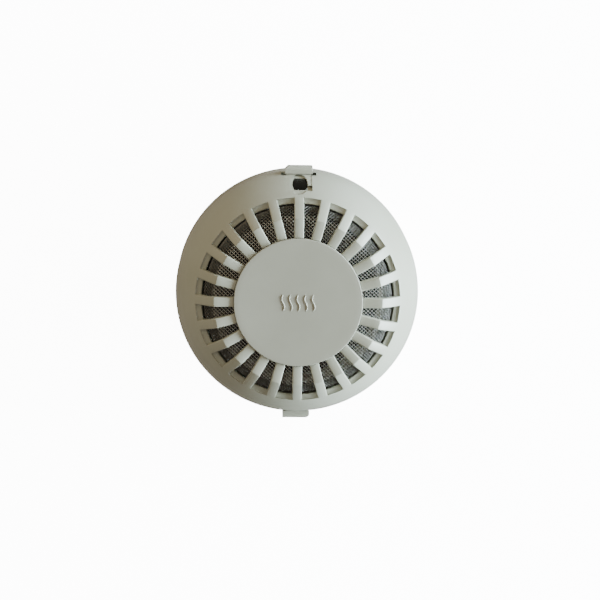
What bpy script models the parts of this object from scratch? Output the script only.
"""A round ceiling fire detector with a heat sensor, in its twist-lock mounting base.

The frame is metres, with +Z up. The origin is the centre of the base's back, the face that goes against
the ceiling. +Z runs from the ceiling out through the detector's face, and +Y points to the status window.
"""

import math

import bmesh
import bpy
from mathutils import Matrix, Vector

MM = 0.001
GAP = 0.3 * MM  # between pieces that rest on each other
RUNNING_GAP = 0.4 * MM  # between pieces that slide or turn past each other
FINE = 48  # sides of a large turned piece
MIDDLE = 36
SMALL = 16
SUNK = 0.5 * MM  # how far an added shape reaches into the one it joins
CLEAR = 2.0 * MM  # how far a cutter reaches past what it cuts

# Mounting base
BASE_RADIUS = 49.8 * MM
BASE_FOOT_RADIUS = 51.2 * MM  # the wall leans out to the ceiling
BASE_HEIGHT = 10.0 * MM
BASE_WALL = 2.0 * MM
BASE_FLOOR = 2.0 * MM
CABLE_HOLE_RADIUS = 13.0 * MM
SLOT_WIDTH = 4.6 * MM
SLOT_LENGTH = 10.0 * MM
SLOT_CENTRE = 29.5 * MM
SLOT_ANGLES = (45, 135, 225, 315)
SOCKET_INNER = 38.8 * MM  # inside of the ring that the bayonet turns in
SOCKET_WALL = 1.6 * MM
SOCKET_TOP = 9.4 * MM
WEB_WIDTH = 1.2 * MM
WEB_TOP = 7.6 * MM
WEB_COUNT = 8

# Bayonet
LUG_COUNT = 3
LUG_ARC = 22  # degrees
LUG_THICK = 2.0 * MM
LUG_REACH = 3.0 * MM
LUG_STOP_ARC = 3  # degrees
LUG_STOP_CLEARANCE = 0.5  # degrees
FIRST_LUG = 90  # degrees
HEAD_LUG_BOTTOM = 4.6 * MM
HUB_WALL = 1.8 * MM

# Terminals and contacts
CONTACT_ANGLES = (0, 90, 180, 270)
CONTACT_WIDTH = 6.0 * MM
POST_SIDE = 8.0 * MM
POST_TOP = 4.2 * MM
TERMINAL_RADIUS = 20.0 * MM  # from the axis to each terminal screw
LEAF_THICK = 0.5 * MM
LEAF_INNER = 16.4 * MM
LEAF_BEND = 24.0 * MM
LEAF_RISE = 1.8 * MM
LEAF_CROWN = 31.0 * MM
LEAF_TIP = 33.0 * MM
CLAMP_SIDE = 6.6 * MM
CLAMP_THICK = 1.0 * MM
TERMINAL_SHANK = 1.6 * MM
TERMINAL_HEAD = 3.0 * MM
TERMINAL_HEAD_THICK = 1.8 * MM
SCREW_SLOT_WIDTH = 0.8 * MM
SCREW_SLOT_SHARE = 0.45  # of the head's thickness
SCREW_DOME_RADIUS = 0.7  # the head's flat top, as a share of its radius
SCREW_DOME_DROP = 0.4  # and the drop to its edge, as a share of its thickness
BLADE_THICK = 0.6 * MM
BLADE_INNER = 27.4 * MM

# Head chassis
CHASSIS_BOTTOM = BASE_HEIGHT + 0.6 * MM
CHASSIS_PLATE = 2.0 * MM
CHASSIS_RIM_WALL = 1.2 * MM
CHASSIS_RIM_HEIGHT = 3.0 * MM
SCREEN_SEAT_INNER = 36.2 * MM
SCREEN_SEAT_WALL = 2.0 * MM
SCREEN_SEAT_HEIGHT = 4.4 * MM
SEAL_INNER = 41.6 * MM
SEAL_OUTER = 46.4 * MM
SEAL_THICK = 1.9 * MM

# Circuit board and what is on it
BOARD_RADIUS = 34.0 * MM
BOARD_THICK = 1.6 * MM
BOARD_LIFT = 0.5 * MM
BOARD_ARM_WIDTH = 9.0 * MM
BOARD_ARM_BEYOND = 0.4 * MM  # how far the arm reaches past the window's axis
BOARD_SCREW_RADIUS = 24.0 * MM
BOARD_SCREW_ANGLES = (60, 180, 300)
BOARD_SCREW_SHANK = 1.1 * MM
BOARD_SCREW_HEAD = 2.4 * MM
BOARD_SCREW_HEAD_THICK = 1.4 * MM
BOARD_SCREW_END = 1.0 * MM  # from the chassis's back to the screw's end
BOARD_POST_WALL = 0.6 * MM  # beyond the screw head's radius
# Each part as its low corner, its high corner and its height
CONTROL_CHIP = ((-5.0, -14.0), (5.0, -7.6), 1.6)
BRIDGE_RECTIFIER = ((-13.0, 3.0), (-8.2, 7.0), 1.7)
TANTALUM_CAPACITOR = ((6.0, 6.0), (13.3, 10.3), 1.7)
LED_WIDTH = 3.2 * MM
LED_INNER = 1.0 * MM  # from the window's axis
LED_OUTER = 0.7 * MM
LED_HEIGHT = 1.0 * MM
REED_RADIUS = 0.85 * MM
REED_LENGTH = 14.0 * MM
REED_PLACE = Vector((-27.5, -14.0)) * MM
REED_TURN = 30  # degrees

# Smoke chamber and heat sensors
CHAMBER_RADIUS = 29.5 * MM
CHAMBER_FLOOR_THICK = 1.8 * MM
CHAMBER_LEG = 2.2 * MM  # height of its legs
CHAMBER_LEG_RADIUS = 1.8 * MM
CHAMBER_LEG_CENTRE = 20.0 * MM
CHAMBER_LEG_ANGLES = (20, 150, 270)
CHAMBER_HEIGHT = 14.2 * MM
CHAMBER_LID_THICK = 1.5 * MM
VANE_COUNT = 20
VANE_LENGTH = 6.0 * MM
VANE_THICK = 1.0 * MM
VANE_RADIUS = 26.0 * MM
VANE_LEAN = 48  # degrees from the radius
HOLDER_SIZE = Vector((9.0, 8.4, 8.6)) * MM
HOLDER_CENTRE = 15.0 * MM
OPTIC_RADIUS = 2.5 * MM
OPTIC_LENGTH = 7.6 * MM
EMITTER_ANGLE = 0
PHOTODIODE_ANGLE = 135
THERMISTOR_ANGLES = (75, 255)
THERMISTOR_RADIUS = 33.0 * MM
THERMISTOR_BEAD = 1.3 * MM
THERMISTOR_HEIGHT = 15.0 * MM
THERMISTOR_LEAD = 0.35 * MM

# Cover
COVER_RADIUS = 50.4 * MM
COVER_SKIRT_TOP = 16.0 * MM
COVER_TOP = 42.0 * MM  # the crease of the ribs
COVER_WALL = 2.0 * MM
CREASE_RADIUS = 33.3 * MM
FLANK_BULGE = 3.0 * MM
FLANK_STEPS = 6
RIB_COUNT = 24
RIB_WIDTH = 3.8 * MM
RIB_DEPTH = 3.2 * MM
RIB_FOOT_THICK = 2.4 * MM  # of a rib where it meets the lip
RIB_DIP = 0.3 * MM  # the ribs fall this much from the crease to the cap
SLOT_OUTER = 40.9 * MM
LIP_WIDTH = 2.45 * MM
LIP_STEP = 0.55 * MM
CAP_RADIUS = 25.45 * MM
CAP_RISE = 0.4 * MM
CAP_THICK = 1.7 * MM
CAP_PEG_RADIUS = 1.2 * MM
CAP_PEG_CENTRE = 17.0 * MM
CAP_PEG_LENGTH = 1.4 * MM
CAP_PEG_ANGLES = (30, 150, 270)
CAP_CHAMFER = 0.4 * MM
HUB_CHAMFER = 0.35 * MM

# Status window
POCKET_WIDTH = 10.4 * MM
POCKET_INSET = 2.0 * MM  # from the slots' ends to the pocket
POCKET_BACK = SLOT_OUTER + POCKET_INSET
POCKET_WALL = 1.5 * MM
POCKET_DEPTH = 0.5 * MM  # square to the flank
WINDOW_INSET = 2.7 * MM  # from the pocket's back to the window's axis
WINDOW_CENTRE = POCKET_BACK + WINDOW_INSET
WINDOW_RADIUS = 2.95 * MM
WINDOW_FLATS = 4.0 * MM
WINDOW_DEPTH = 0.9 * MM  # the lens face lies this far under the flank
WINDOW_FLANGE = 1.0 * MM
WINDOW_FLANGE_STEP = 0.6 * MM  # how far the flange goes beyond the window's flats

# Cover latches
LATCH_WIDTH = 11.3 * MM
LATCH_INSET = 1.1 * MM  # the latch begins this far inside the skirt
LATCH_REACH = 2.2 * MM  # and stands out this far beyond it
LATCH_ROOT = COVER_RADIUS - LATCH_INSET
LATCH_OUTER = COVER_RADIUS + LATCH_REACH
LATCH_CHAMFER = 1.4 * MM
LATCH_PLATE = 1.3 * MM
LATCH_WALL = 1.1 * MM
LATCH_BARB = 0.4 * MM
LATCH_BARB_HEIGHT = 1.0 * MM
LATCH_BOTTOM = 9.2 * MM
PIT_WIDTH = 1.4 * MM
PIT_DEPTH = 1.1 * MM
PIT_BOTTOM = COVER_SKIRT_TOP + 0.8 * MM
CATCH_WIDTH = 9.0 * MM

# Insect screen
SCREEN_THICK = 0.5 * MM
SCREEN_FLANGE = 1.6 * MM
SCREEN_RING_THICK = 2.0 * MM
SCREEN_RING_WIDTH = 2.4 * MM
SCREEN_CORNER_EASE = 0.7 * MM  # the drop across the rounded corner of its flat top


# ---------------------------------------------------------------- scene, materials and small tools

def clear_scene():
    for old in list(bpy.data.objects):
        bpy.data.objects.remove(old, do_unlink=True)


def new_collection(name):
    collection = bpy.data.collections.new(name)
    bpy.context.scene.collection.children.link(collection)
    return collection


clear_scene()
PART = new_collection("heat_detector")
CUTTERS = new_collection("cutters")


def material(name, colour, roughness, metallic=0.0):
    made = bpy.data.materials.new(name)
    made.use_nodes = True
    shader = made.node_tree.nodes["Principled BSDF"]
    shader.inputs["Base Color"].default_value = (*colour, 1.0)
    shader.inputs["Roughness"].default_value = roughness
    shader.inputs["Metallic"].default_value = metallic
    return made


COVER_PLASTIC = material("cover_plastic", (0.62, 0.62, 0.56), 0.5)
BASE_PLASTIC = material("base_plastic", (0.66, 0.65, 0.59), 0.55)
BLACK_PLASTIC = material("black_plastic", (0.02, 0.02, 0.02), 0.6)
SCREEN_STEEL = material("screen_steel", (0.45, 0.44, 0.42), 0.35, 1.0)
SOLDER_MASK = material("solder_mask", (0.015, 0.02, 0.017), 0.6)
NICKEL = material("nickel", (0.62, 0.6, 0.55), 0.25, 1.0)
SCREW_STEEL = material("screw_steel", (0.55, 0.55, 0.55), 0.3, 1.0)
SMOKED_LENS = material("smoked_lens", (0.01, 0.012, 0.01), 0.12)
CLEAR_LED = material("clear_led", (0.75, 0.2, 0.15), 0.2)
CHIP_BLACK = material("chip_black", (0.03, 0.03, 0.035), 0.5)
REED_GLASS = material("reed_glass", (0.5, 0.55, 0.45), 0.1)
SEAL_FOAM = material("seal_foam", (0.05, 0.05, 0.05), 0.9)
BEAD_EPOXY = material("bead_epoxy", (0.05, 0.08, 0.16), 0.3)


def add_object(name, mesh, finish=None):
    """A part in its own material, or a hidden cutter when there is no finish."""
    made = bpy.data.objects.new(name, mesh)
    if finish is None:
        CUTTERS.objects.link(made)
        made.hide_render = True
        made.display_type = "WIRE"
    else:
        PART.objects.link(made)
        mesh.materials.append(finish)
        mesh.shade_smooth()
        mesh.set_sharp_from_angle(angle=math.radians(30))
    return made


def mesh_from(name, shape):
    mesh = bpy.data.meshes.new(name)
    shape.to_mesh(mesh)
    shape.free()
    return mesh


def box(name, low, high, finish=None):
    low, high = Vector(low), Vector(high)
    size = high - low
    place = Matrix.Translation((low + high) / 2) @ Matrix.Diagonal((*size, 1))
    shape = bmesh.new()
    bmesh.ops.create_cube(shape, size=1, matrix=place)
    return add_object(name, mesh_from(name, shape), finish)


def cylinder(name, radius, bottom, top, centre=(0, 0), sides=SMALL, finish=None):
    place = Matrix.Translation((*centre, (bottom + top) / 2))
    shape = bmesh.new()
    bmesh.ops.create_cone(
        shape, cap_ends=True, segments=sides, radius1=radius, radius2=radius, depth=top - bottom, matrix=place
    )
    return add_object(name, mesh_from(name, shape), finish)


def turned(name, profile, finish=None, sides=FINE, closed=True):
    """A profile of (radius, height) points turned round Z, out along the top and down the outer side."""
    shape = bmesh.new()
    points = [shape.verts.new((r, 0, z)) for r, z in profile]
    ends = list(zip(points, points[1:]))
    if closed:
        ends.append((points[-1], points[0]))
    for first, second in ends:
        shape.edges.new((first, second))
    made = add_object(name, mesh_from(name, shape), finish)
    screw = made.modifiers.new("turn", "SCREW")
    screw.steps = screw.render_steps = sides
    screw.use_merge_vertices = True
    screw.merge_threshold = 0.00001
    screw.use_smooth_shade = True
    screw.use_normal_calculate = False
    return made


def prism(name, outline, bottom, top, finish=None):
    """A flat outline, anticlockwise from above, pulled up from bottom to top."""
    shape = bmesh.new()
    face = shape.faces.new([shape.verts.new((x, y, bottom)) for x, y in outline])
    grown = bmesh.ops.extrude_face_region(shape, geom=[face])
    lifted = [v for v in grown["geom"] if isinstance(v, bmesh.types.BMVert)]
    bmesh.ops.translate(shape, vec=(0, 0, top - bottom), verts=lifted)
    bmesh.ops.recalc_face_normals(shape, faces=shape.faces)
    return add_object(name, mesh_from(name, shape), finish)


def side_prism(name, outline, width, finish=None):
    """An outline of (radius, height) points, given a width across the radius and centred on it."""
    shape = bmesh.new()
    face = shape.faces.new([shape.verts.new((r, -width / 2, z)) for r, z in outline])
    grown = bmesh.ops.extrude_face_region(shape, geom=[face])
    lifted = [v for v in grown["geom"] if isinstance(v, bmesh.types.BMVert)]
    bmesh.ops.translate(shape, vec=(0, width, 0), verts=lifted)
    bmesh.ops.recalc_face_normals(shape, faces=shape.faces)
    return add_object(name, mesh_from(name, shape), finish)


def merged(name, pieces, finish=None):
    """Several shapes that don't touch, or a ring of cutters, put in one mesh."""
    shape = bmesh.new()
    for piece in pieces:
        copy = piece.data.copy()
        copy.transform(piece.matrix_basis)
        shape.from_mesh(copy)
        bpy.data.meshes.remove(copy)
        bpy.data.objects.remove(piece, do_unlink=True)
    return add_object(name, mesh_from(name, shape), finish)


def combine(target, other, operation):
    step = target.modifiers.new(other.name, "BOOLEAN")
    step.operation = operation
    step.solver = "EXACT"
    step.object = other


def cut(target, *others):
    for other in others:
        combine(target, other, "DIFFERENCE")


def join(target, *others):
    for other in others:
        combine(target, other, "UNION")


def turn_to(piece, degrees):
    """Turns a piece about the Z axis through the origin."""
    piece.matrix_basis = Matrix.Rotation(math.radians(degrees), 4, "Z") @ piece.matrix_basis
    return piece


def polar(radius, degrees):
    angle = math.radians(degrees)
    return (radius * math.cos(angle), radius * math.sin(angle))


def sector(name, inner, outer, bottom, top, start, end, finish=None, steps=4):
    """A block between two radii and two angles in degrees."""
    angles = [start + (end - start) * i / steps for i in range(steps + 1)]
    outline = [polar(inner, a) for a in reversed(angles)] + [polar(outer, a) for a in angles]
    return prism(name, outline, bottom, top, finish)


# ---------------------------------------------------------------- heights that follow from the sizes

HEAD_LUG_TOP = HEAD_LUG_BOTTOM + LUG_THICK
BASE_LUG_BOTTOM = HEAD_LUG_TOP + RUNNING_GAP
BASE_LUG_TOP = BASE_LUG_BOTTOM + LUG_THICK
HUB_OUTER = SOCKET_INNER - LUG_REACH - RUNNING_GAP
HUB_INNER = HUB_OUTER - HUB_WALL
LEAF_BOTTOM = POST_TOP + GAP
CLAMP_BOTTOM = LEAF_BOTTOM + LEAF_THICK + GAP
TERMINAL_HEAD_BOTTOM = CLAMP_BOTTOM + CLAMP_THICK + GAP
BLADE_BOTTOM = LEAF_BOTTOM + LEAF_RISE + LEAF_THICK + GAP
CHASSIS_TOP = CHASSIS_BOTTOM + CHASSIS_PLATE
CHASSIS_RADIUS = COVER_RADIUS - COVER_WALL - RUNNING_GAP
POST_HEIGHT = BOARD_LIFT
BOARD_BOTTOM = CHASSIS_TOP + POST_HEIGHT + GAP
BOARD_TOP = BOARD_BOTTOM + BOARD_THICK
CHAMBER_FLOOR_BOTTOM = BOARD_TOP + GAP + CHAMBER_LEG
CHAMBER_FLOOR_TOP = CHAMBER_FLOOR_BOTTOM + CHAMBER_FLOOR_THICK
CHAMBER_LID_BOTTOM = CHAMBER_FLOOR_TOP + CHAMBER_HEIGHT
OPTIC_HEIGHT = CHAMBER_FLOOR_TOP + HOLDER_SIZE.z / 2
HUB_PLATE_BOTTOM = COVER_TOP - RIB_DEPTH
HUB_PLATE_TOP = COVER_TOP + CAP_RISE - CAP_THICK - GAP
LIP_INNER = SLOT_OUTER - LIP_WIDTH


def flank_circle():
    """Centre and radius of the arc from the crease down to the skirt."""
    top = Vector((CREASE_RADIUS, COVER_TOP))
    bottom = Vector((COVER_RADIUS, COVER_SKIRT_TOP))
    half = (bottom - top).length / 2
    radius = (half ** 2 + FLANK_BULGE ** 2) / (2 * FLANK_BULGE)
    along = (bottom - top).normalized()
    inward = Vector((along.y, -along.x))
    return (top + bottom) / 2 + inward * (radius - FLANK_BULGE), radius


FLANK_CENTRE, FLANK_RADIUS = flank_circle()


def flank_height(radius, depth=0.0):
    """Height of the cover's flank at a radius, or of the surface that lies this deep under it."""
    reach = FLANK_RADIUS - depth
    return FLANK_CENTRE.y + math.sqrt(reach ** 2 - (radius - FLANK_CENTRE.x) ** 2)


def flank_radius(height, depth=0.0):
    reach = FLANK_RADIUS - depth
    return FLANK_CENTRE.x + math.sqrt(reach ** 2 - (height - FLANK_CENTRE.y) ** 2)


def flank_points(top_height, bottom_height, depth=0.0):
    """Points down the flank between two heights, evenly spaced in angle."""
    reach = FLANK_RADIUS - depth
    first = math.asin((top_height - FLANK_CENTRE.y) / reach)
    last = math.asin((bottom_height - FLANK_CENTRE.y) / reach)
    angles = [first + (last - first) * i / FLANK_STEPS for i in range(FLANK_STEPS + 1)]
    return [
        (FLANK_CENTRE.x + reach * math.cos(a), FLANK_CENTRE.y + reach * math.sin(a)) for a in angles
    ]


LIP_TOP = flank_height(SLOT_OUTER) - LIP_STEP
LIP_BOTTOM = LIP_TOP - COVER_WALL
TRAY_BOTTOM = flank_height(LATCH_ROOT) - 2.0 * MM
SCREEN_WALL_OUTER = LIP_INNER - RUNNING_GAP
SCREEN_TOP = HUB_PLATE_BOTTOM - RUNNING_GAP
SCREEN_FLANGE_BOTTOM = CHASSIS_TOP + SCREEN_SEAT_HEIGHT + GAP
RIB_FOOT = flank_height(LIP_INNER) - RIB_FOOT_THICK
SCREEN_SHOULDER = RIB_FOOT - 2 * RUNNING_GAP
SCREEN_CORNER = CREASE_RADIUS + 0.9 * MM
LATCH_TOP = flank_height(LATCH_ROOT) - GAP
LATCH_SLOT_TOP = LATCH_TOP - LATCH_PLATE - GAP


# ---------------------------------------------------------------- mounting base

def make_base():
    """Round moulding with a cable hole, screw slots, the bayonet socket and posts for the terminals."""
    profile = [
        (BASE_RADIUS - BASE_WALL, BASE_HEIGHT),
        (BASE_RADIUS, BASE_HEIGHT),
        (BASE_FOOT_RADIUS, 0),
        (CABLE_HOLE_RADIUS, 0),
        (CABLE_HOLE_RADIUS, BASE_FLOOR),
        (SOCKET_INNER, BASE_FLOOR),
        (SOCKET_INNER, SOCKET_TOP),
        (SOCKET_INNER + SOCKET_WALL, SOCKET_TOP),
        (SOCKET_INNER + SOCKET_WALL, BASE_FLOOR),
        (BASE_RADIUS - BASE_WALL, BASE_FLOOR),
    ]
    base = turned("mounting_base", profile, BASE_PLASTIC)
    join(base, merged("base_webs", [
        turn_to(
            box("web", (SOCKET_INNER + SUNK, -WEB_WIDTH / 2, BASE_FLOOR - SUNK),
                (BASE_RADIUS - BASE_WALL + SUNK, WEB_WIDTH / 2, WEB_TOP)),
            360 / WEB_COUNT * (i + 0.5),
        )
        for i in range(WEB_COUNT)
    ]))
    lug_inner = SOCKET_INNER - LUG_REACH
    lug_outer = SOCKET_INNER + SUNK
    for i in range(LUG_COUNT):
        middle = FIRST_LUG + 360 / LUG_COUNT * i
        low = middle - LUG_ARC / 2
        stop_end = low - LUG_STOP_CLEARANCE
        join(
            base,
            sector(f"base_lug_{i + 1}", lug_inner, lug_outer, BASE_LUG_BOTTOM, BASE_LUG_TOP,
                   stop_end - LUG_STOP_ARC / 2, middle + LUG_ARC / 2),
            sector(f"base_stop_{i + 1}", lug_inner, lug_outer, BASE_FLOOR - SUNK, BASE_LUG_TOP - SUNK,
                   stop_end - LUG_STOP_ARC, stop_end, steps=1),
        )
    half = POST_SIDE / 2
    join(base, merged("terminal_posts", [
        turn_to(
            box("post", (TERMINAL_RADIUS - half, -half, BASE_FLOOR - SUNK),
                (TERMINAL_RADIUS + half, half, POST_TOP)),
            angle,
        )
        for angle in CONTACT_ANGLES
    ]))
    cut(base, merged("terminal_holes", [
        turn_to(
            cylinder("hole", TERMINAL_SHANK + GAP, BASE_FLOOR - SUNK, POST_TOP + SUNK, (TERMINAL_RADIUS, 0)),
            angle,
        )
        for angle in CONTACT_ANGLES
    ]))
    cut(base, merged("screw_slots", [
        turn_to(
            box("slot", (SLOT_CENTRE - SLOT_LENGTH / 2, -SLOT_WIDTH / 2, -CLEAR),
                (SLOT_CENTRE + SLOT_LENGTH / 2, SLOT_WIDTH / 2, BASE_FLOOR + CLEAR)),
            angle,
        )
        for angle in SLOT_ANGLES
    ]))
    return base


def leaf_outline():
    """Side of a contact leaf, measured from its hinge line at the bend."""
    low = -LEAF_THICK / 2
    crown = LEAF_CROWN - LEAF_BEND
    near_crown = (crown * 0.8, low + LEAF_RISE * 0.92)  # eases the bend into the crown
    tip = (LEAF_TIP - LEAF_BEND, low + LEAF_RISE / 2)
    spine = [(LEAF_INNER - LEAF_BEND, low), (0, low), near_crown, (crown, low + LEAF_RISE), tip]
    return spine + [(r, z + LEAF_THICK) for r, z in reversed(spine)]


def make_terminals():
    """At each contact: a sprung leaf, a clamp plate and a terminal screw."""
    for number, angle in enumerate(CONTACT_ANGLES, 1):
        leaf = side_prism(f"contact_leaf_{number}", leaf_outline(), CONTACT_WIDTH, NICKEL)
        leaf.location = (LEAF_BEND, 0, LEAF_BOTTOM + LEAF_THICK / 2)
        hole = cylinder(
            f"leaf_hole_{number}", TERMINAL_SHANK + RUNNING_GAP, 0, POST_TOP * 3, (TERMINAL_RADIUS, 0), SMALL
        )
        cut(leaf, hole)
        half = CLAMP_SIDE / 2
        clamp = box(
            f"terminal_clamp_{number}",
            (TERMINAL_RADIUS - half, -half, CLAMP_BOTTOM),
            (TERMINAL_RADIUS + half, half, CLAMP_BOTTOM + CLAMP_THICK),
            NICKEL,
        )
        cut(clamp, hole)
        screw = turned_screw(
            f"terminal_screw_{number}", TERMINAL_SHANK, TERMINAL_HEAD, BASE_FLOOR + GAP,
            TERMINAL_HEAD_BOTTOM, TERMINAL_HEAD_THICK, (TERMINAL_RADIUS, 0),
        )
        for piece in (leaf, hole, clamp, screw):
            turn_to(piece, angle)


def turned_screw(name, shank, head, bottom, head_bottom, head_thick, centre):
    """A screw with a slotted round head."""
    top = head_bottom + head_thick
    screw = turned(
        name,
        [
            (0, top), (head * SCREW_DOME_RADIUS, top), (head, top - head_thick * SCREW_DOME_DROP),
            (head, head_bottom), (shank, head_bottom), (shank, bottom), (0, bottom),
        ],
        SCREW_STEEL, SMALL, closed=False,
    )
    screw.location = (*centre, 0)
    slot = box(
        name + "_slot",
        (-head * 2, -SCREW_SLOT_WIDTH / 2, top - head_thick * SCREW_SLOT_SHARE),
        (head * 2, SCREW_SLOT_WIDTH / 2, top + CLEAR),
    )
    slot.location = (*centre, 0)
    slot.parent = screw
    slot.matrix_parent_inverse = Matrix.Translation((-centre[0], -centre[1], 0))
    cut(screw, slot)
    return screw


# ---------------------------------------------------------------- head: chassis, blades and board

def make_chassis():
    """The moulded floor of the head: bayonet hub and lugs below, screen seat and board posts above."""
    seat_outer = SCREEN_SEAT_INNER + SCREEN_SEAT_WALL
    seat_top = CHASSIS_TOP + SCREEN_SEAT_HEIGHT
    rim_inner = CHASSIS_RADIUS - CHASSIS_RIM_WALL
    rim_top = CHASSIS_TOP + CHASSIS_RIM_HEIGHT
    profile = [
        (0, CHASSIS_TOP),
        (SCREEN_SEAT_INNER, CHASSIS_TOP),
        (SCREEN_SEAT_INNER, seat_top),
        (seat_outer, seat_top),
        (seat_outer, CHASSIS_TOP),
        (rim_inner, CHASSIS_TOP),
        (rim_inner, rim_top),
        (CHASSIS_RADIUS, rim_top),
        (CHASSIS_RADIUS, CHASSIS_BOTTOM),
        (HUB_OUTER, CHASSIS_BOTTOM),
        (HUB_OUTER, HEAD_LUG_BOTTOM),
        (HUB_INNER, HEAD_LUG_BOTTOM),
        (HUB_INNER, CHASSIS_BOTTOM),
        (0, CHASSIS_BOTTOM),
    ]
    chassis = turned("head_chassis", profile, BASE_PLASTIC, closed=False)
    for i in range(LUG_COUNT):
        middle = FIRST_LUG + 360 / LUG_COUNT * i
        join(chassis, sector(
            f"head_lug_{i + 1}", HUB_OUTER - SUNK, SOCKET_INNER - RUNNING_GAP, HEAD_LUG_BOTTOM, HEAD_LUG_TOP,
            middle - LUG_ARC / 2, middle + LUG_ARC / 2,
        ))
    centres = [polar(BOARD_SCREW_RADIUS, a) for a in BOARD_SCREW_ANGLES]
    join(chassis, merged("board_posts", [
        cylinder("post", BOARD_SCREW_HEAD + BOARD_POST_WALL, CHASSIS_TOP - SUNK, CHASSIS_TOP + POST_HEIGHT, c)
        for c in centres
    ]))
    cut(chassis, merged("board_post_holes", [
        cylinder("hole", BOARD_SCREW_SHANK + GAP, CHASSIS_BOTTOM + BOARD_SCREW_END - GAP, BOARD_TOP, c)
        for c in centres
    ]))
    catch_outer = LATCH_OUTER - LATCH_WALL - LATCH_BARB - RUNNING_GAP
    for side in (0, 180):
        join(chassis, turn_to(box(
            f"catch_{side}", (-CATCH_WIDTH / 2, rim_inner + SUNK, CHASSIS_BOTTOM + GAP),
            (CATCH_WIDTH / 2, catch_outer, CHASSIS_BOTTOM + GAP + LATCH_BARB_HEIGHT * 1.5),
        ), side))
    arm = BOARD_ARM_WIDTH / 2 + RUNNING_GAP
    cut(chassis, box(
        "arm_gate", (-arm, SCREEN_SEAT_INNER - CLEAR, CHASSIS_TOP + POST_HEIGHT),
        (arm, rim_inner - SUNK, seat_top + CLEAR),
    ))
    cut(chassis, merged("blade_slots", [
        turn_to(box(
            "slot", (BLADE_INNER - GAP, -CONTACT_WIDTH / 2 - GAP, CHASSIS_BOTTOM - 1 * MM),
            (BLADE_INNER + BLADE_THICK + GAP, CONTACT_WIDTH / 2 + GAP, CHASSIS_TOP + 1 * MM),
        ), angle)
        for angle in CONTACT_ANGLES
    ]))
    return chassis


def make_blades():
    """L-shaped contacts that hang from the head and lie on the leaves of the base."""
    outer = HUB_INNER - RUNNING_GAP
    top = BOARD_BOTTOM - GAP
    outline = [
        (BLADE_INNER, BLADE_BOTTOM), (outer, BLADE_BOTTOM), (outer, BLADE_BOTTOM + BLADE_THICK),
        (BLADE_INNER + BLADE_THICK, BLADE_BOTTOM + BLADE_THICK), (BLADE_INNER + BLADE_THICK, top),
        (BLADE_INNER, top),
    ]
    for number, angle in enumerate(CONTACT_ANGLES, 1):
        turn_to(side_prism(f"contact_blade_{number}", outline, CONTACT_WIDTH, NICKEL), angle)


def make_board():
    """Round circuit board with an arm that carries the indicator out under the status window."""
    board = cylinder("circuit_board", BOARD_RADIUS, BOARD_BOTTOM, BOARD_TOP, sides=FINE, finish=SOLDER_MASK)
    half = BOARD_ARM_WIDTH / 2
    join(board, box(
        "board_arm", (-half, BOARD_RADIUS - BOARD_ARM_WIDTH / 2, BOARD_BOTTOM),
        (half, WINDOW_CENTRE + BOARD_ARM_BEYOND, BOARD_TOP),
    ))
    centres = [polar(BOARD_SCREW_RADIUS, a) for a in BOARD_SCREW_ANGLES]
    cut(board, merged("board_holes", [
        cylinder("hole", BOARD_SCREW_SHANK + RUNNING_GAP, BOARD_BOTTOM - CLEAR, BOARD_TOP + CLEAR, c)
        for c in centres
    ]))
    for number, centre in enumerate(centres, 1):
        turned_screw(
            f"board_screw_{number}", BOARD_SCREW_SHANK, BOARD_SCREW_HEAD, CHASSIS_BOTTOM + BOARD_SCREW_END,
            BOARD_TOP + GAP, BOARD_SCREW_HEAD_THICK, centre,
        )


def make_components():
    """The larger parts on the board, all low enough to lie under the chamber floor."""
    seat = BOARD_TOP + GAP
    for name, (low, high, height), finish in (
        ("control_chip", CONTROL_CHIP, CHIP_BLACK),
        ("bridge_rectifier", BRIDGE_RECTIFIER, CHIP_BLACK),
        ("tantalum_capacitor", TANTALUM_CAPACITOR, BEAD_EPOXY),
    ):
        box(
            name, (low[0] * MM, low[1] * MM, seat), (high[0] * MM, high[1] * MM, seat + height * MM), finish
        )
    box(
        "indicator_led", (-LED_WIDTH / 2, WINDOW_CENTRE - LED_INNER, seat),
        (LED_WIDTH / 2, WINDOW_CENTRE + LED_OUTER, seat + LED_HEIGHT), CLEAR_LED,
    )
    reed = cylinder(
        "reed_switch", REED_RADIUS, -REED_LENGTH / 2, REED_LENGTH / 2, sides=12, finish=REED_GLASS
    )
    reed.matrix_basis = (
        Matrix.Translation((*REED_PLACE, seat + REED_RADIUS))
        @ Matrix.Rotation(math.radians(REED_TURN), 4, "Z")
        @ Matrix.Rotation(math.radians(90), 4, "X")
    )
    turned(
        "dust_seal",
        [
            (SEAL_INNER, CHASSIS_BOTTOM - GAP), (SEAL_OUTER, CHASSIS_BOTTOM - GAP),
            (SEAL_OUTER, CHASSIS_BOTTOM - GAP - SEAL_THICK), (SEAL_INNER, CHASSIS_BOTTOM - GAP - SEAL_THICK),
        ],
        SEAL_FOAM, MIDDLE,
    )


# ---------------------------------------------------------------- head: smoke chamber and heat sensors

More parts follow.
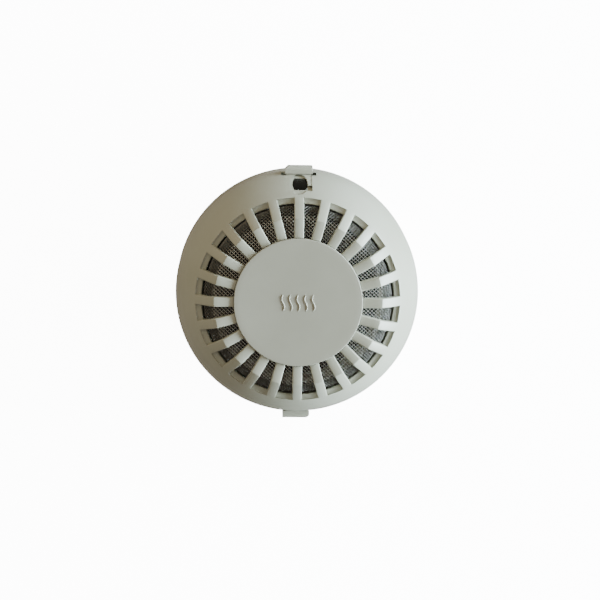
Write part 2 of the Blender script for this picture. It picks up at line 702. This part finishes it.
def make_chamber():
    """Black chamber floor with holders for the optics, and a lid whose leaning vanes keep light out."""
    floor = cylinder(
        "chamber_floor", CHAMBER_RADIUS, CHAMBER_FLOOR_BOTTOM, CHAMBER_FLOOR_TOP, sides=MIDDLE,
        finish=BLACK_PLASTIC,
    )
    join(floor, merged("chamber_legs", [
        cylinder(
            "leg", CHAMBER_LEG_RADIUS, BOARD_TOP + GAP, CHAMBER_FLOOR_BOTTOM + SUNK,
            polar(CHAMBER_LEG_CENTRE, a),
        )
        for a in CHAMBER_LEG_ANGLES
    ]))
    for number, angle in enumerate((EMITTER_ANGLE, PHOTODIODE_ANGLE), 1):
        half = HOLDER_SIZE / 2
        holder = box(
            f"optic_holder_{number}",
            (HOLDER_CENTRE - half.x, -half.y, CHAMBER_FLOOR_TOP - SUNK),
            (HOLDER_CENTRE + half.x, half.y, CHAMBER_FLOOR_TOP + HOLDER_SIZE.z),
        )
        bore = cylinder(f"optic_bore_{number}", OPTIC_RADIUS + GAP, -2 * half.x, 2 * half.x)
        bore.matrix_basis = along_radius(HOLDER_CENTRE, OPTIC_HEIGHT)
        turn_to(holder, angle)
        turn_to(bore, angle)
        join(floor, holder)
        cut(floor, bore)
    for name, angle, finish in (
        ("infrared_emitter", EMITTER_ANGLE, CLEAR_LED),
        ("photodiode", PHOTODIODE_ANGLE, CHIP_BLACK),
    ):
        optic = turned(name, optic_profile(), finish, SMALL, closed=False)
        optic.matrix_basis = along_radius(HOLDER_CENTRE, OPTIC_HEIGHT)
        turn_to(optic, angle)

    lid = cylinder(
        "chamber_lid", CHAMBER_RADIUS, CHAMBER_LID_BOTTOM, CHAMBER_LID_BOTTOM + CHAMBER_LID_THICK,
        sides=MIDDLE, finish=BLACK_PLASTIC,
    )
    vanes = []
    for i in range(VANE_COUNT):
        vane = box(
            "vane", (-VANE_LENGTH / 2, -VANE_THICK / 2, CHAMBER_FLOOR_TOP + GAP),
            (VANE_LENGTH / 2, VANE_THICK / 2, CHAMBER_LID_BOTTOM + SUNK),
        )
        vane.matrix_basis = Matrix.Translation((VANE_RADIUS, 0, 0)) @ Matrix.Rotation(
            math.radians(VANE_LEAN), 4, "Z"
        )
        vanes.append(turn_to(vane, 360 / VANE_COUNT * (i + 0.5)))
    join(lid, merged("lid_vanes", vanes))


def optic_profile():
    """A round LED body with a domed nose, lying along its own Z axis."""
    nose = OPTIC_LENGTH / 2
    flat = nose - OPTIC_RADIUS
    dome = [
        (OPTIC_RADIUS * math.sin(math.radians(a)), flat + OPTIC_RADIUS * math.cos(math.radians(a)))
        for a in (0, 30, 60, 90)
    ]
    return dome + [(OPTIC_RADIUS, -nose), (0, -nose)]


def along_radius(radius, height):
    """Lays a piece made along Z on the radius, with its top end towards the axis."""
    return Matrix.Translation((radius, 0, height)) @ Matrix.Rotation(math.radians(-90), 4, "Y")


def make_thermistors():
    """Heat sensors: an epoxy bead on two stiff leads, standing in the air between chamber and screen."""
    foot = BOARD_TOP + GAP
    bead_height = foot + THERMISTOR_HEIGHT
    for number, angle in enumerate(THERMISTOR_ANGLES, 1):
        shape = bmesh.new()
        bmesh.ops.create_uvsphere(
            shape, u_segments=12, v_segments=8, radius=THERMISTOR_BEAD,
            matrix=Matrix.Translation((THERMISTOR_RADIUS, 0, bead_height)),
        )
        name = f"thermistor_{number}"
        bead = add_object(name, mesh_from(name, shape), BEAD_EPOXY)
        for side in (-1, 1):
            lead = cylinder(
                f"{name}_lead_{side}", THERMISTOR_LEAD, foot, bead_height,
                (THERMISTOR_RADIUS, side * THERMISTOR_BEAD * 0.55), 8,
            )
            turn_to(lead, angle)
            join(bead, lead)
        turn_to(bead, angle)


# ---------------------------------------------------------------- head: insect screen

def screen_profile():
    """Side of the screen, outside first: a flat top, a leaning shoulder, a wall and a foot flange."""
    inner = SCREEN_WALL_OUTER - SCREEN_THICK
    flange_top = SCREEN_FLANGE_BOTTOM + SCREEN_THICK
    corner_height = SCREEN_TOP - SCREEN_CORNER_EASE
    return [
        (0, SCREEN_TOP),
        (SCREEN_CORNER - 1.0 * MM, SCREEN_TOP),
        (SCREEN_CORNER, corner_height),
        (SCREEN_WALL_OUTER, SCREEN_SHOULDER),
        (SCREEN_WALL_OUTER, flange_top),
        (SCREEN_WALL_OUTER + SCREEN_FLANGE, flange_top),
        (SCREEN_WALL_OUTER + SCREEN_FLANGE, SCREEN_FLANGE_BOTTOM),
        (inner, SCREEN_FLANGE_BOTTOM),
        (inner, SCREEN_SHOULDER),
        (SCREEN_CORNER - SCREEN_THICK * 0.6, corner_height - SCREEN_THICK * 0.4),
        (SCREEN_CORNER - 1.2 * MM, SCREEN_TOP - SCREEN_THICK),
        (0, SCREEN_TOP - SCREEN_THICK),
    ]


def make_screen():
    """The wire-mesh cup as a plain shell, and the ring that holds its flange down on the chassis."""
    turned("insect_screen", screen_profile(), SCREEN_STEEL, closed=False)
    ring_bottom = SCREEN_FLANGE_BOTTOM + SCREEN_THICK + GAP
    ring_inner = SCREEN_WALL_OUTER + GAP
    turned(
        "screen_ring",
        [
            (ring_inner, ring_bottom + SCREEN_RING_THICK),
            (ring_inner + SCREEN_RING_WIDTH, ring_bottom + SCREEN_RING_THICK),
            (ring_inner + SCREEN_RING_WIDTH, ring_bottom), (ring_inner, ring_bottom),
        ],
        BASE_PLASTIC,
    )


# ---------------------------------------------------------------- cover

def cover_profile():
    """Side of the cover before its slots are cut, outside first."""
    hub_edge = CAP_RADIUS + GAP
    rib_top = COVER_TOP - RIB_DIP
    outer = flank_points(COVER_TOP, COVER_SKIRT_TOP)
    inner_radius = COVER_RADIUS - COVER_WALL
    inner = flank_points(LIP_BOTTOM, COVER_SKIRT_TOP + 0.5 * MM, COVER_WALL)
    rib_underside = SCREEN_WALL_OUTER + RUNNING_GAP
    return (
        [(0, HUB_PLATE_TOP), (hub_edge, HUB_PLATE_TOP), (hub_edge, rib_top - HUB_CHAMFER),
         (hub_edge + HUB_CHAMFER, rib_top)]
        + outer
        + [(COVER_RADIUS, CHASSIS_BOTTOM), (inner_radius, CHASSIS_BOTTOM)]
        + list(reversed(inner))
        + [
            (rib_underside, LIP_BOTTOM),
            (rib_underside, RIB_FOOT),
            (SCREEN_CORNER + 0.9 * MM, HUB_PLATE_BOTTOM),
            (0, HUB_PLATE_BOTTOM),
        ]
    )


def slot_cutter(name):
    """Every slot between the ribs: right through as far as the lip, and down to the lip beyond it."""
    half = RIB_WIDTH / 2
    pitch = 2 * math.pi / RIB_COUNT
    above = COVER_TOP + CLEAR
    below = LIP_BOTTOM - CLEAR
    inside = CAP_RADIUS - 0.4 * MM  # every slot runs in under the cap's edge
    section = [
        (inside, below), (LIP_INNER, below), (LIP_INNER, LIP_TOP),
        (SLOT_OUTER, LIP_TOP), (SLOT_OUTER, above), (inside, above),
    ]
    shape = bmesh.new()
    for i in range(RIB_COUNT):
        layers = []
        for share in (0, 1 / 3, 2 / 3, 1):
            layer = []
            for radius, height in section:
                edge = math.asin(half / radius)
                angle = pitch * i + edge + (pitch - 2 * edge) * share
                layer.append(shape.verts.new((radius * math.cos(angle), radius * math.sin(angle), height)))
            layers.append(layer)
        shape.faces.new(layers[0])
        shape.faces.new(layers[-1])
        for near, far in zip(layers, layers[1:]):
            for k in range(len(section)):
                following = (k + 1) % len(section)
                shape.faces.new((near[k], near[following], far[following], far[k]))
    bmesh.ops.recalc_face_normals(shape, faces=shape.faces)
    return add_object(name, mesh_from(name, shape))


def dome(name, depth):
    """The solid inside the cover's outer surface, or inside the surface that lies this deep under it."""
    return turned(
        name,
        [(0, COVER_TOP - 2 * MM), (flank_radius(COVER_TOP - 2 * MM, depth), COVER_TOP - 2 * MM)]
        + flank_points(COVER_TOP - 2.5 * MM, COVER_SKIRT_TOP, depth)
        + [(COVER_RADIUS - depth, 0), (0, 0)],
        closed=False,
    )


def make_cover():
    """The moulded cover: skirt, curved flank, lip, ribs and hub, with a pocket for the status window."""
    cover = turned("outer_cover", cover_profile(), COVER_PLASTIC, closed=False)
    cut(cover, slot_cutter("rib_slots"))

    half = POCKET_WIDTH / 2
    wall = POCKET_WALL
    tray = box(
        "pocket_tray", (-half - wall, POCKET_BACK - wall, TRAY_BOTTOM),
        (half + wall, COVER_RADIUS - COVER_WALL / 2, COVER_TOP),
    )
    combine(tray, dome("tray_dome", 0.05 * MM), "INTERSECT")
    join(cover, tray)
    pocket = box("pocket", (-half, POCKET_BACK, 0), (half, COVER_RADIUS + CLEAR, COVER_TOP + CLEAR))
    cut(pocket, dome("pocket_dome", POCKET_DEPTH))
    cut(cover, pocket)
    hole = cylinder(
        "window_hole", WINDOW_RADIUS + GAP, CHASSIS_BOTTOM, COVER_TOP, (0, WINDOW_CENTRE), 24
    )
    reach = WINDOW_FLATS / 2 + GAP
    combine(
        hole, box("window_hole_flats", (-3 * reach, WINDOW_CENTRE - reach, 0),
                  (3 * reach, WINDOW_CENTRE + reach, COVER_TOP + CLEAR)),
        "INTERSECT",
    )
    flange_x = WINDOW_RADIUS + WINDOW_FLANGE + GAP
    flange_y = WINDOW_FLATS / 2 + WINDOW_FLANGE_STEP + GAP
    cut(cover, hole, box(
        "window_seat", (-flange_x, WINDOW_CENTRE - flange_y, CHASSIS_BOTTOM),
        (flange_x, WINDOW_CENTRE + flange_y, TRAY_BOTTOM),
    ))

    clear = LATCH_WIDTH / 2 + GAP
    pit = clear + PIT_WIDTH
    gate_inner = COVER_RADIUS - 5 * COVER_WALL
    beyond = LATCH_OUTER + CLEAR
    for side in (0, 180):
        cut(
            cover,
            turn_to(box(f"latch_gate_{side}", (-clear, gate_inner, 0), (clear, beyond, LATCH_SLOT_TOP)), side),
            turn_to(box(f"latch_step_{side}", (-clear, LATCH_ROOT, LATCH_SLOT_TOP - 1 * MM),
                        (clear, beyond, COVER_TOP)), side),
            turn_to(merged(f"latch_pits_{side}", [
                box("pit", (min(s * pit, s * (clear - 1 * MM)), LATCH_ROOT - PIT_DEPTH / 2, PIT_BOTTOM),
                    (max(s * pit, s * (clear - 1 * MM)), LATCH_ROOT + PIT_DEPTH / 2, COVER_TOP))
                for s in (-1, 1)
            ]), side),
        )
    pegs = [polar(CAP_PEG_CENTRE, a) for a in CAP_PEG_ANGLES]
    cut(cover, merged("peg_holes", [
        cylinder("hole", CAP_PEG_RADIUS + GAP, HUB_PLATE_BOTTOM - CLEAR, HUB_PLATE_TOP + CLEAR, c) for c in pegs
    ]))
    return pegs


def make_cap(pegs):
    """The smooth round cap on the hub, held by three pegs."""
    bottom = HUB_PLATE_TOP + GAP
    top = COVER_TOP + CAP_RISE
    cap = turned(
        "centre_cap",
        [(0, top), (CAP_RADIUS - CAP_CHAMFER, top), (CAP_RADIUS, top - CAP_CHAMFER),
         (CAP_RADIUS, bottom), (0, bottom)],
        COVER_PLASTIC, closed=False,
    )
    join(cap, merged("cap_pegs", [
        cylinder("peg", CAP_PEG_RADIUS, bottom - CAP_PEG_LENGTH, bottom + SUNK, c) for c in pegs
    ]))


def make_window():
    """Smoked status window: a flattened round lens with a slanting face, and a flange under the cover."""
    flange_top = TRAY_BOTTOM - GAP
    flange = WINDOW_RADIUS + WINDOW_FLANGE
    lens = turned(
        "status_window",
        [(0, COVER_TOP), (WINDOW_RADIUS, COVER_TOP), (WINDOW_RADIUS, flange_top), (flange, flange_top),
         (flange, flange_top - WINDOW_FLANGE), (0, flange_top - WINDOW_FLANGE)],
        SMOKED_LENS, 24, closed=False,
    )
    lens.location = (0, WINDOW_CENTRE, 0)
    combine(lens, dome("lens_dome", WINDOW_DEPTH), "INTERSECT")
    beyond = 3 * WINDOW_RADIUS
    for label, across, bottom in (
        ("window", WINDOW_FLATS, flange_top),
        ("flange", WINDOW_FLATS + 2 * WINDOW_FLANGE_STEP, flange_top - 2 * WINDOW_FLANGE),
    ):
        for side in (-1, 1):
            near, far = WINDOW_CENTRE + side * across / 2, WINDOW_CENTRE + side * beyond
            cut(lens, box(
                f"{label}_flat_{side}", (-beyond, min(near, far), bottom),
                (beyond, max(near, far), COVER_TOP),
            ))


def make_latches():
    """Sprung latches at the top and bottom of the cover. Each turns on a thin hinge along its root."""
    hinge = Vector((0, LATCH_ROOT + GAP, LATCH_TOP - LATCH_PLATE / 2))
    inner = LATCH_OUTER - LATCH_WALL
    outline = [
        (hinge.y, LATCH_TOP), (LATCH_OUTER - LATCH_CHAMFER, LATCH_TOP),
        (LATCH_OUTER, LATCH_TOP - LATCH_CHAMFER), (LATCH_OUTER, LATCH_BOTTOM),
        (inner - LATCH_BARB, LATCH_BOTTOM), (inner - LATCH_BARB, LATCH_BOTTOM + LATCH_BARB_HEIGHT),
        (inner, LATCH_BOTTOM + LATCH_BARB_HEIGHT * 1.4),
        (inner, LATCH_TOP - LATCH_PLATE), (hinge.y, LATCH_TOP - LATCH_PLATE),
    ]
    local = [(r - hinge.y, z - hinge.z) for r, z in outline]
    for name, turn in (("cover_latch_top", 90), ("cover_latch_bottom", 270)):
        latch = side_prism(name, local, LATCH_WIDTH, COVER_PLASTIC)
        latch.location = (hinge.y, 0, hinge.z)
        turn_to(latch, turn)


make_base()
make_terminals()
make_chassis()
make_blades()
make_board()
make_components()
make_chamber()
make_thermistors()
make_screen()
make_cap(make_cover())
make_window()
make_latches()
